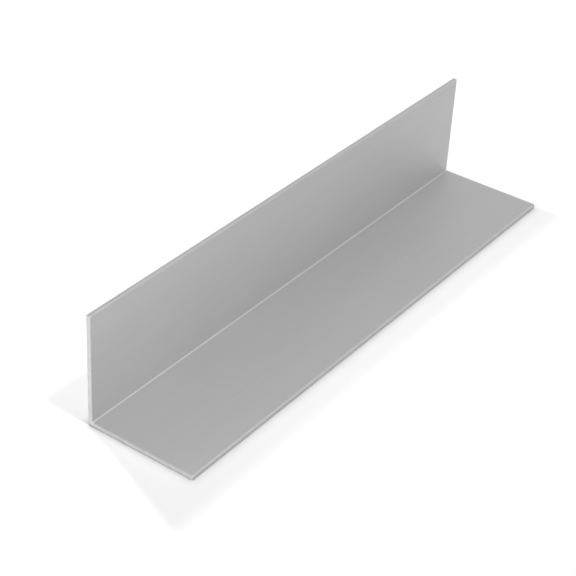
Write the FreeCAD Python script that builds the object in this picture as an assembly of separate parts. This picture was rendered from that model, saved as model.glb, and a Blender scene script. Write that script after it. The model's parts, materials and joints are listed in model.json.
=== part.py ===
import FreeCAD, Part
import math
import os

# Metal angle section: one straight length of equal-leg angle, lying on its lower leg.
# X runs along the length, Y across the lying leg towards the standing leg, and Z up.
# The origin is on the floor, under the middle of the box that the section fills.

# Driving dimensions, in millimetres
length = 250.0              # from saw cut to saw cut
lying_leg = 50.0            # from the back of the standing leg to the toe
standing_leg = 50.0         # from the floor to the top edge
lying_thickness = 2.0
standing_thickness = 2.0
root_radius = 0.5           # the fillet inside the corner
heel_radius = 0.5           # the outer corner, behind the fillet
edge_radius = 0.4           # the two long edges of the toe and of the top
end_break = 0.2             # flat left round each saw cut where the burr was taken off

# The deepest rounding that a wall can carry on both of its long edges
rounding_share = 0.45
toe_radius = min(edge_radius, rounding_share * lying_thickness)
top_radius = min(edge_radius, rounding_share * standing_thickness)

# Limits of the section
back = lying_leg / 2
toe = back - lying_leg
floor = 0.0
top = floor + standing_leg
inner_wall = back - standing_thickness
inner_floor = floor + lying_thickness


def point(across, up):
    """A point of the section, drawn on the plane at the middle of the length."""
    return FreeCAD.Vector(0, across, up)


def corner_arc(before, corner, after, radius):
    """The arc that rounds one corner and meets the straight runs on both sides smoothly."""
    to_before = (before - corner).normalize()
    to_after = (after - corner).normalize()
    half_angle = to_before.getAngle(to_after) / 2
    reach = radius / math.tan(half_angle)
    inwards = (to_before + to_after).normalize()
    middle = corner + inwards * (radius / math.sin(half_angle) - radius)
    return Part.Arc(corner + to_before * reach, middle, corner + to_after * reach)


def rounded_outline(corners):
    """A closed outline through the corners, each given with its own radius."""
    count = len(corners)
    arcs = []
    for i, (corner, radius) in enumerate(corners):
        before = corners[i - 1][0]
        after = corners[(i + 1) % count][0]
        arcs.append(corner_arc(before, corner, after, radius))
    edges = []
    for i, arc in enumerate(arcs):
        following = arcs[(i + 1) % count]
        edges.append(arc.toShape())
        edges.append(Part.LineSegment(arc.EndPoint, following.StartPoint).toShape())
    return Part.Wire(edges)


def section_face():
    """The section, walked from the heel along the floor and back over the two inner faces."""
    corners = [
        (point(back, floor), heel_radius),
        (point(toe, floor), toe_radius),
        (point(toe, inner_floor), toe_radius),
        (point(inner_wall, inner_floor), root_radius),
        (point(inner_wall, top), top_radius),
        (point(back, top), top_radius),
    ]
    return Part.Face(rounded_outline(corners))


def end_edges(bar, x):
    """The edges that bound the bar's saw cut at x."""
    return [edge for edge in bar.Edges if all(abs(v.X - x) < 1e-6 for v in edge.Vertexes)]


def angle_section():
    """The section drawn out to its length, with the burr taken off both saw cuts."""
    face = section_face()
    face.translate(FreeCAD.Vector(-length / 2, 0, 0))
    bar = face.extrude(FreeCAD.Vector(length, 0, 0))
    cut_edges = end_edges(bar, -length / 2) + end_edges(bar, length / 2)
    return bar.makeChamfer(end_break, cut_edges)


os.makedirs("parts", exist_ok=True)
solid = angle_section()
solid.exportStep("parts/angle_section.step")
print("angle_section:", len(solid.Solids), "solid,", round(solid.Volume, 1), "mm3, valid", solid.isValid())
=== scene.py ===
# %% [markdown]
# The object is one length of extruded aluminium angle, sawn square at both ends. It lies on one leg and the
# other leg stands up behind it. It is plain stock: there is no hole, no fitting and no print on it. What
# there is to look at is the satin skin, the small radii that the extrusion die leaves, and the two sawn
# ends. The frame gives the bar's exact box and its mounts, so the bar below is worked out from them.

import json
import math
import random

import bmesh
import bpy
from mathutils import Euler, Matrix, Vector


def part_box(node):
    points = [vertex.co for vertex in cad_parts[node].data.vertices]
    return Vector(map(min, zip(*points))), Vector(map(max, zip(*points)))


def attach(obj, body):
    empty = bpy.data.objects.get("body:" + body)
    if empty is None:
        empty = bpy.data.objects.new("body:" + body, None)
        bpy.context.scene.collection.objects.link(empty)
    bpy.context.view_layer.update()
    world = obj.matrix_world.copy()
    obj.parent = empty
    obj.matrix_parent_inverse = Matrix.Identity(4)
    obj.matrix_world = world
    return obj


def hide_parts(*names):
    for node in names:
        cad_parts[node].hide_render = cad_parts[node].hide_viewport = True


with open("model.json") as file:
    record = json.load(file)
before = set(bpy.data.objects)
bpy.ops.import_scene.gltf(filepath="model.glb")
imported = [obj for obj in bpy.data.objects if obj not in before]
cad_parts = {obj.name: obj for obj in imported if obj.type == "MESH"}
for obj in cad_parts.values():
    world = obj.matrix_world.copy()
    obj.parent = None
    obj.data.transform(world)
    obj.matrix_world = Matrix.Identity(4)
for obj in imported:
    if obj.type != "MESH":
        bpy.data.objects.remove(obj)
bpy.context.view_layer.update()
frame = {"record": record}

# %% [markdown]
# The section has six corners, and on the real bar the die rounds each of them. The inner corner has a fillet
# of half a millimetre, the heel behind it is as tight, and the long edges of both legs are just broken. The
# box gives the length and the legs, and the mounts on the inner faces give the two wall thicknesses, so only
# the radii have to be named here.

# %% Sizes of the bar
MM = 0.001
low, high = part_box("angle_section")
mount_place = {mount["name"]: Vector(mount["pos_m"]) for mount in frame["record"]["mounts"]}
inner_floor = mount_place["lying_leg_inside"].z
inner_wall = mount_place["standing_leg_inside"].y
length = high.x - low.x
root_radius = 0.5 * MM
heel_radius = 0.5 * MM
edge_radius = 0.4 * MM
end_break = 0.2 * MM
walls = (inner_floor - low.z, high.y - inner_wall)
print("length", round(length / MM, 2), "mm, walls", [round(wall / MM, 2) for wall in walls], "mm")

# %% [markdown]
# The bar could be a box with a cut, but real stock is a section pushed through a die. So it is made the same
# way: a flat sheet with the outline of the section, its corners rounded one by one, then drawn out along X.
# A corner of a sheet is rounded by a vertex bevel, whose offset is the radius when the corner is square.

# %% Section sheet, drawn out to the bar
def rounded_sheet(bm, corners, x, segments):
    """A flat section at x, with each corner rounded to its own radius."""
    ring = [bm.verts.new((x, y, z)) for y, z, radius in corners]
    bm.faces.new(ring)
    for vert, (y, z, radius) in zip(ring, corners):
        bmesh.ops.bevel(
            bm, geom=[vert], offset=radius, offset_type="OFFSET", segments=segments,
            profile=0.5, affect="VERTICES", material=-1,
        )


def draw_out(bm, distance):
    """Extrudes the sheet along X into a closed bar."""
    grown = bmesh.ops.extrude_face_region(bm, geom=bm.faces[:])
    far_end = [item for item in grown["geom"] if isinstance(item, bmesh.types.BMVert)]
    bmesh.ops.translate(bm, vec=(distance, 0, 0), verts=far_end)
    bmesh.ops.recalc_face_normals(bm, faces=bm.faces[:])


corner_segments = 8
section_corners = [
    (high.y, low.z, heel_radius),
    (low.y, low.z, edge_radius),
    (low.y, inner_floor, edge_radius),
    (inner_wall, inner_floor, root_radius),
    (inner_wall, high.z, edge_radius),
    (high.y, high.z, edge_radius),
]
bar = bmesh.new()
rounded_sheet(bar, section_corners, low.x, corner_segments)
draw_out(bar, length)
open_edges = [edge for edge in bar.edges if len(edge.link_faces) != 2]
print("drawn bar:", len(bar.faces), "faces,", len(open_edges), "open edges")

# %% [markdown]
# A sawn end has a thin sharp burr until somebody runs a file or a brush round it. What is left is a tiny
# rounding on every edge of the cut. An edge bevel on the two end outlines makes it.

# %% Edges of the saw cuts, broken
NEAR = 1e-6


def at_x(edge, x):
    """True for an edge that lies in the saw cut at x."""
    return all(abs(vert.co.x - x) < NEAR for vert in edge.verts)


rim_segments = 3
rim = [edge for edge in bar.edges if at_x(edge, low.x) or at_x(edge, high.x)]
bmesh.ops.bevel(
    bar, geom=rim, offset=end_break, offset_type="OFFSET", segments=rim_segments,
    profile=0.5, affect="EDGES", material=-1,
)
print("rim edges broken:", len(rim))

# %% [markdown]
# Handling rubs the corners of a bar smoother than its faces, and the die burnishes the fillet. The corners
# and the fillet are also painted a little lighter, partly as wear and partly as a painted highlight. The
# finish needs to know where the corners are, so every vertex that touches a rounding gets the value 1 in an
# attribute called rubbed_and_highlight. A loop of vertices a little way in on each flat keeps the value 0,
# so the band fades out over that distance instead of running across the whole face. Nothing rubs deep in the
# inner corner, so the band beside the fillet is much narrower.

# %% Loops beside the corners
fade = 0.7 * MM
root_fade = 0.2 * MM
one_axis = 0.9999


def plane_cut(bm, place, normal):
    """Adds a loop of edges where a plane crosses the bar."""
    everything = bm.verts[:] + bm.edges[:] + bm.faces[:]
    bmesh.ops.bisect_plane(bm, geom=everything, dist=NEAR, plane_co=place, plane_no=normal)


for x in (low.x + end_break + fade, high.x - end_break - fade):
    plane_cut(bar, (x, 0, 0), (1, 0, 0))
for y in (low.y + edge_radius + fade, inner_wall - root_radius - root_fade):
    plane_cut(bar, (0, y, 0), (0, 1, 0))
for z in (inner_floor + root_radius + root_fade, high.z - edge_radius - fade):
    plane_cut(bar, (0, 0, z), (0, 0, 1))


def is_flat(face):
    """True on the long faces and the saw cuts, which all look along one axis."""
    return max(abs(part) for part in face.normal) > one_axis


# Marks the corners, which the skin makes smoother and paints a little lighter, as wear and as a painted
# highlight.
rubbed_and_highlight = bar.verts.layers.float.new("rubbed_and_highlight")
for vert in bar.verts:
    vert[rubbed_and_highlight] = 0.0 if all(is_flat(face) for face in vert.link_faces) else 1.0
print("rubbed vertices:", sum(1 for vert in bar.verts if vert[rubbed_and_highlight] > 0.5), "of", len(bar.verts))

# %% [markdown]
# A circular saw leaves fine ridges across the cut, all leaning the same way because the blade is far larger
# than the bar. They are real relief, up to about three hundredths of a millimetre deep, and they catch the
# light on the end nearest the eye. Parallel planes slice the end faces into strips of uneven width, and
# every second line is then pushed in.

# %% Saw marks on both ends
mark_lean = math.radians(17)
mark_pitch = 0.62 * MM
mark_depth = 0.028 * MM
pitch_spread = (0.55, 1.45)
depth_spread = (0.5, 1.0)
wander = random.Random(4)


def end_faces(bm, x):
    """The faces of the saw cut at x."""
    return [face for face in bm.faces if all(abs(vert.co.x - x) < NEAR for vert in face.verts)]


def saw_marks(bm, x, inwards):
    """Slices one end into leaning strips and pushes every second line in."""
    normal = Vector((0, -math.sin(mark_lean), math.cos(mark_lean)))
    start = normal.dot(Vector((0, high.y, low.z)))
    stop = normal.dot(Vector((0, low.y, high.z)))
    rows = []
    reach = start
    while reach < stop:
        faces = end_faces(bm, x)
        edges = {edge for face in faces for edge in face.edges}
        verts = {vert for face in faces for vert in face.verts}
        cut = bmesh.ops.bisect_plane(
            bm, geom=faces + list(edges) + list(verts), dist=NEAR, plane_co=normal * reach, plane_no=normal,
        )
        rows.append([item for item in cut["geom_cut"] if isinstance(item, bmesh.types.BMVert)])
        reach += mark_pitch * wander.uniform(*pitch_spread)
    for row in rows[::2]:
        depth = mark_depth * wander.uniform(*depth_spread)
        bmesh.ops.translate(bm, vec=(inwards * depth, 0, 0), verts=row)
    return len(rows)


for x, inwards in ((low.x, 1), (high.x, -1)):
    marks = saw_marks(bar, x, inwards)
    print("saw lines at x", round(x / MM, 1), ":", marks)

# %% [markdown]
# Each face now gets its finish and its shading. The saw cuts are bare metal and stay flat shaded, so that
# the ridges stay crisp. Everything else has the satin skin and is smooth shaded, and weighted normals let
# the wide flats stay truly flat while the corners turn round evenly.

# %% Finish numbers and the piece
SATIN, SAWN = 0, 1
cut_zone = mark_depth + NEAR
wide_faces_first = 100
for face in bar.faces:
    sawn = all(min(abs(vert.co.x - low.x), abs(vert.co.x - high.x)) < cut_zone for vert in face.verts)
    face.material_index = SAWN if sawn else SATIN
    face.smooth = not sawn
bmesh.ops.triangulate(bar, faces=bar.faces[:])
angle_mesh = bpy.data.meshes.new("angle_bar")
bar.to_mesh(angle_mesh)
bar.free()
angle_bar = bpy.data.objects.new("angle_bar", angle_mesh)
bpy.context.scene.collection.objects.link(angle_bar)
even = angle_bar.modifiers.new("even_normals", "WEIGHTED_NORMAL")
even.mode = "FACE_AREA"
even.weight = wide_faces_first
print("angle_bar:", len(angle_mesh.polygons), "triangles")

# %% [markdown]
# Both finishes are built from the same few kinds of node, so a small kit saves a lot of lines. A pattern is
# a noise whose own stretch is set by a Mapping node on Object coordinates, and blends of patterns are sums.
# Both are bare metal of a pure grey, so one level serves red, green and blue.

# %% Small node kit
class Finish:
    """One material and the short calls that fill it."""

    def __init__(self, name):
        self.material = bpy.data.materials.new(name)
        self.material.use_nodes = True
        self.nodes = self.material.node_tree.nodes
        self.links = self.material.node_tree.links
        self.shader = self.nodes["Principled BSDF"]
        self.shader.inputs["Metallic"].default_value = 1.0
        self.place = self.nodes.new("ShaderNodeTexCoord").outputs["Object"]

    def noise(self, stretch, detail=2.0, roughness=0.5):
        """A noise with so many grains to the metre along X, Y and Z."""
        mapping = self.nodes.new("ShaderNodeMapping")
        mapping.inputs["Scale"].default_value = stretch
        self.links.new(self.place, mapping.inputs["Vector"])
        pattern = self.nodes.new("ShaderNodeTexNoise")
        pattern.inputs["Scale"].default_value = 1.0
        pattern.inputs["Detail"].default_value = detail
        pattern.inputs["Roughness"].default_value = roughness
        self.links.new(mapping.outputs["Vector"], pattern.inputs["Vector"])
        return pattern.outputs["Fac"]

    def attribute(self, name):
        """A value that the mesh carries at its vertices."""
        node = self.nodes.new("ShaderNodeAttribute")
        node.attribute_name = name
        return node.outputs["Fac"]

    def weighted(self, middle, *parts):
        """middle plus each pattern, counted from its own middle, times its weight."""
        total = None
        for pattern, weight, centre in parts:
            step = self.nodes.new("ShaderNodeMath")
            step.operation = "MULTIPLY_ADD"
            self.links.new(pattern, step.inputs[0])
            step.inputs[1].default_value = weight
            if total is None:
                step.inputs[2].default_value = middle - sum(w * c for p, w, c in parts)
            else:
                self.links.new(total, step.inputs[2])
            total = step.outputs[0]
        return total

    def tone(self, level):
        """The grey of the metal, from 0, black, to 1, white."""
        self.links.new(level, self.shader.inputs["Base Color"])

    def relief(self, height, distance):
        """Fine unevenness that only tilts the light, with its full depth in metres."""
        bump = self.nodes.new("ShaderNodeBump")
        bump.inputs["Distance"].default_value = distance
        self.links.new(height, bump.inputs["Height"])
        self.links.new(bump.outputs["Normal"], self.shader.inputs["Normal"])

    def rough(self, level):
        """How widely the metal spreads what it mirrors, from 0, a mirror, to 1, chalky."""
        self.links.new(level, self.shader.inputs["Roughness"])


# %% [markdown]
# The skin of the bar is aluminium as it leaves the die and the etching bath: a matt grey metal that spreads
# what it mirrors widely. The die draws hair-fine lines along the length, the bath leaves an even grain of
# about a tenth of a millimetre, and there are slow clouds where the etch took differently. None of it stands
# out at arm's length, so each pattern has a small weight. The rubbed corners are smoother, and a little
# lighter in colour, partly as wear and partly as a painted highlight.

# %% Satin skin
def satin_skin():
    """The etched skin of the long faces and their corners."""
    skin = Finish("satin_aluminium")
    die_lines = skin.noise((9, 2400, 2400), detail=3, roughness=0.6)
    bands = skin.noise((2.5, 130, 130), detail=2)
    grain = skin.noise((7000, 7000, 7000), detail=1)
    clouds = skin.noise((18, 26, 26), detail=3)
    corner = skin.attribute("rubbed_and_highlight")
    # The corner term paints the roundings and the fillet a little lighter: wear, and a painted highlight.
    skin.tone(skin.weighted(
        0.488, (die_lines, 0.08, 0.5), (bands, 0.015, 0.5), (grain, 0.12, 0.5), (clouds, 0.02, 0.5),
        (corner, 0.01, 0.0),
    ))
    skin.rough(skin.weighted(0.62, (clouds, 0.04, 0.5), (die_lines, 0.09, 0.5), (corner, -0.10, 0.0)))
    skin.relief(skin.weighted(0.0, (die_lines, 0.7, 0.5), (grain, 0.3, 0.5)), distance=0.010 * MM)
    return skin.material


# %% [markdown]
# The sawn ends are bare metal, brighter and a little shinier than the skin. The ridges are already there as
# shape; the finer scratches of single teeth run the same way and are left to a stretched noise.

# %% Sawn ends
def sawn_end():
    """Bare metal with the scratches of single teeth."""
    cut = Finish("sawn_aluminium")
    teeth = cut.noise((1, 900, 9000), detail=2, roughness=0.6)
    smear = cut.noise((1, 300, 900), detail=2)
    cut.tone(cut.weighted(0.645, (teeth, 0.30, 0.5), (smear, 0.15, 0.5)))
    cut.rough(cut.weighted(0.42, (smear, 0.15, 0.5)))
    cut.relief(teeth, distance=0.02 * MM)
    return cut.material


angle_mesh.materials.append(satin_skin())
angle_mesh.materials.append(sawn_end())
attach(angle_bar, "root")
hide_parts("angle_section")

# %% [markdown]
# The bar lies on a wide white floor. Its colour takes light and shadow as paper would, and only what the eye
# or a reflection sees gets some white added, so that the floor away from the bar is pure white. One lamp
# will hang close to the bar, and beyond its reach the floor gets more added, right out to the horizon.
#
# Right under an edge hardly any light gets in, and a few lamps can't draw that soft dark seam, so a painted
# shade darkens the paper's colour close to whatever stands on it. For the eye that painted shade is a narrow
# seam. In the metal's reflections it is a wide one, as far out as the leg is tall, because the leg hides
# much of the tent from the paper there, and the foot of the sawn end mirrors just that stretch. Bounced
# light is left as it is.

# %% Floor
floor_white = 0.9
floor_top_up = 0.11
far_top_up = 0.28
lamp_reach = 0.5
far_away = 1.6
# How far out and how deep the shade painted into the floor's colour reaches, for the eye and in reflections.
painted_shade_reach = 5 * MM
painted_shade_for_eye = 0.8
reflected_shade_reach = high.z - low.z
painted_shade_in_reflections = 0.6
floor_span = 6.0
under_the_bar = -0.05 * MM


def seen_directly(nodes, links):
    """1 for rays from the eye and from reflections, 0 for light that bounces about."""
    path = nodes.new("ShaderNodeLightPath")
    sees = path.outputs["Is Camera Ray"]
    for other in ("Is Glossy Ray", "Is Transmission Ray"):
        either = nodes.new("ShaderNodeMath")
        either.operation = "MAXIMUM"
        links.new(sees, either.inputs[0])
        links.new(path.outputs[other], either.inputs[1])
        sees = either.outputs[0]
    return sees


def painted_contact_shade(nodes, links, ray, reach, depth):
    """Painted shade: 1 in the open and less close to what stands on the paper, for one kind of ray."""
    path = nodes.new("ShaderNodeLightPath")
    share = nodes.new("ShaderNodeMath")
    share.operation = "MULTIPLY"
    share.inputs[1].default_value = depth
    links.new(path.outputs[ray], share.inputs[0])
    around = nodes.new("ShaderNodeAmbientOcclusion")
    around.inputs["Distance"].default_value = reach
    openness = nodes.new("ShaderNodeMix")
    openness.data_type = "FLOAT"
    openness.inputs["A"].default_value = 1.0
    links.new(share.outputs[0], openness.inputs["Factor"])
    links.new(around.outputs["AO"], openness.inputs["B"])
    return openness.outputs["Result"]


def paper_colour(nodes, links):
    """White, with painted shade close to whatever stands on it."""
    # Painted shade in the paper's colour: a narrow seam for the eye, a wide one in reflections.
    for_eye = painted_contact_shade(nodes, links, "Is Camera Ray", painted_shade_reach, painted_shade_for_eye)
    for_metal = painted_contact_shade(nodes, links, "Is Glossy Ray", reflected_shade_reach, painted_shade_in_reflections)
    either = nodes.new("ShaderNodeMath")
    either.operation = "MULTIPLY"
    links.new(for_eye, either.inputs[0])
    links.new(for_metal, either.inputs[1])
    colour = nodes.new("ShaderNodeMath")
    colour.operation = "MULTIPLY"
    colour.inputs[1].default_value = floor_white
    links.new(either.outputs[0], colour.inputs[0])
    return colour.outputs[0]


def white_added(nodes, links):
    """What is added to the paper for the eye and for reflections, more of it far from the bar."""
    place = nodes.new("ShaderNodeTexCoord").outputs["Object"]
    distance = nodes.new("ShaderNodeVectorMath")
    distance.operation = "LENGTH"
    links.new(place, distance.inputs[0])
    by_distance = nodes.new("ShaderNodeMapRange")
    by_distance.inputs["From Min"].default_value = lamp_reach
    by_distance.inputs["From Max"].default_value = far_away
    by_distance.inputs["To Min"].default_value = floor_top_up
    by_distance.inputs["To Max"].default_value = far_top_up
    links.new(distance.outputs["Value"], by_distance.inputs["Value"])
    added = nodes.new("ShaderNodeMath")
    added.operation = "MULTIPLY"
    links.new(by_distance.outputs["Result"], added.inputs[0])
    links.new(seen_directly(nodes, links), added.inputs[1])
    return added.outputs[0]


def white_floor():
    """Paper that takes light and shadow, with painted shade in its colour, plus the white that is added to
    it.
    """
    material = bpy.data.materials.new("white_floor")
    material.use_nodes = True
    nodes = material.node_tree.nodes
    links = material.node_tree.links
    nodes.clear()
    colour = paper_colour(nodes, links)
    paper = nodes.new("ShaderNodeBsdfDiffuse")
    links.new(colour, paper.inputs["Color"])
    glow = nodes.new("ShaderNodeEmission")
    links.new(colour, glow.inputs["Color"])
    links.new(white_added(nodes, links), glow.inputs["Strength"])
    both = nodes.new("ShaderNodeAddShader")
    links.new(paper.outputs[0], both.inputs[0])
    links.new(glow.outputs[0], both.inputs[1])
    out = nodes.new("ShaderNodeOutputMaterial")
    links.new(both.outputs[0], out.inputs["Surface"])
    return material


sheet = bmesh.new()
bmesh.ops.create_grid(sheet, x_segments=1, y_segments=1, size=floor_span / 2)
bmesh.ops.translate(sheet, vec=(0, 0, under_the_bar), verts=sheet.verts[:])
floor_mesh = bpy.data.meshes.new("floor")
sheet.to_mesh(floor_mesh)
sheet.free()
floor = bpy.data.objects.new("floor", floor_mesh)
floor_mesh.materials.append(white_floor())
bpy.context.scene.collection.objects.link(floor)

# %% [markdown]
# The bar stands in a white tent that is brightest near the floor and greyer overhead. Metal shows what is
# round it, so the tent and two softboxes shape its tones. The floor needs the opposite, small lamps with
# clear shadows. The one straight above hides its shadow under the bar. A broad one on the right deepens the
# seam at the near end. The one in front throws a pale wedge behind the near end, and the one at the back,
# which hangs only half a metre up, draws the pale border along the whole toe.
#
# So the softboxes are kept off the paper, and the small lamps out of the metal's reflections. The tent isn't
# sampled as a lamp, so that only rays which bounce into it find it, and a Light Path share can then keep it
# bright to look at and weak on the paper.

# %% Light
tent_walls = 1.0
tent_roof = 0.73
tent_share = 0.2


def tent():
    """A world that goes from wall to roof, and gives bounced light only a share of what is seen."""
    world = bpy.data.worlds.new("tent")
    world.use_nodes = True
    bpy.context.scene.world = world
    world.cycles.sampling_method = "NONE"
    nodes = world.node_tree.nodes
    links = world.node_tree.links
    direction = nodes.new("ShaderNodeTexCoord").outputs["Generated"]
    split = nodes.new("ShaderNodeSeparateXYZ")
    links.new(direction, split.inputs[0])
    height = nodes.new("ShaderNodeMapRange")
    height.inputs["To Min"].default_value = tent_walls
    height.inputs["To Max"].default_value = tent_roof
    links.new(split.outputs["Z"], height.inputs["Value"])
    share = nodes.new("ShaderNodeMapRange")
    share.inputs["To Min"].default_value = tent_share
    share.inputs["To Max"].default_value = 1.0
    links.new(seen_directly(nodes, links), share.inputs["Value"])
    level = nodes.new("ShaderNodeMath")
    level.operation = "MULTIPLY"
    links.new(height.outputs["Result"], level.inputs[0])
    links.new(share.outputs["Result"], level.inputs[1])
    back = nodes["Background"]
    back.inputs["Color"].default_value = (1, 1, 1, 1)
    links.new(level.outputs[0], back.inputs["Strength"])


def far_lamp(name, comes_from, level, spread):
    """A distant lamp, spread degrees wide. A white sheet square to it would look level bright."""
    light = bpy.data.lights.new(name, "SUN")
    light.energy = math.pi * level
    light.angle = math.radians(spread)
    thing = bpy.data.objects.new(name, light)
    thing.rotation_euler = Vector(comes_from).to_track_quat("Z", "Y").to_euler()
    bpy.context.scene.collection.objects.link(thing)
    return thing


def close_lamp(name, place, aim, level, size):
    """A round lamp near the bar. A white sheet at its aim would look level bright."""
    light = bpy.data.lights.new(name, "AREA")
    light.shape = "DISK"
    light.size = size
    reach = (place - aim).length
    light.energy = level * (math.pi * reach) ** 2
    thing = bpy.data.objects.new(name, light)
    thing.location = place
    thing.rotation_euler = (place - aim).to_track_quat("Z", "Y").to_euler()
    bpy.context.scene.collection.objects.link(thing)
    return thing


tent()
near_end = Vector((low.x, 0, (low.z + high.z) / 2))
softboxes = [
    far_lamp("key_softbox", comes_from=(35, -35, 87), level=0.185, spread=45),
    close_lamp("camera_softbox", Vector((-0.45, -0.30, 0.30)), near_end, level=1.28, size=0.3),
]
floor_lamps = [
    far_lamp("overhead_lamp", comes_from=(0, 0, 1), level=0.395, spread=3),
    far_lamp("right_lamp", comes_from=(50, 0, 60), level=0.15, spread=30),
    far_lamp("front_lamp", comes_from=(0, -24, 50), level=0.22, spread=5),
    close_lamp("back_lamp", Vector((0.106, 0.59, 0.513)), near_end, level=0.3, size=0.05),
]
for box in softboxes:
    box.visible_diffuse = False
for lamp in floor_lamps:
    lamp.visible_glossy = False
print("lamps:", [lamp.name for lamp in softboxes + floor_lamps])

# %% [markdown]
# The camera stands off the near end, well above the bar, and looks down along it with a long lens, so that
# the far end is only a little smaller than the near end. Its place and turn were worked out from the bar's
# edges.

# %% Camera
photo_width = 576
sensor_width = 36.0
focal_pixels = 1652.6
camera_place = Vector((-0.4815, -0.3068, 0.3892))
camera_pitch = 56.14
camera_roll = -2.78
camera_heading = -53.62

camera_data = bpy.data.cameras.new("camera")
camera_data.sensor_width = sensor_width
camera_data.lens = focal_pixels * sensor_width / photo_width
camera = bpy.data.objects.new("camera", camera_data)
camera.location = camera_place
camera.rotation_euler = Euler([math.radians(turn) for turn in (camera_pitch, camera_roll, camera_heading)])
bpy.context.scene.collection.objects.link(camera)
bpy.context.scene.camera = camera
bpy.context.scene.view_settings.view_transform = "Standard"
print("camera lens", round(camera_data.lens, 1), "mm, distance", round(camera_place.length / MM), "mm")
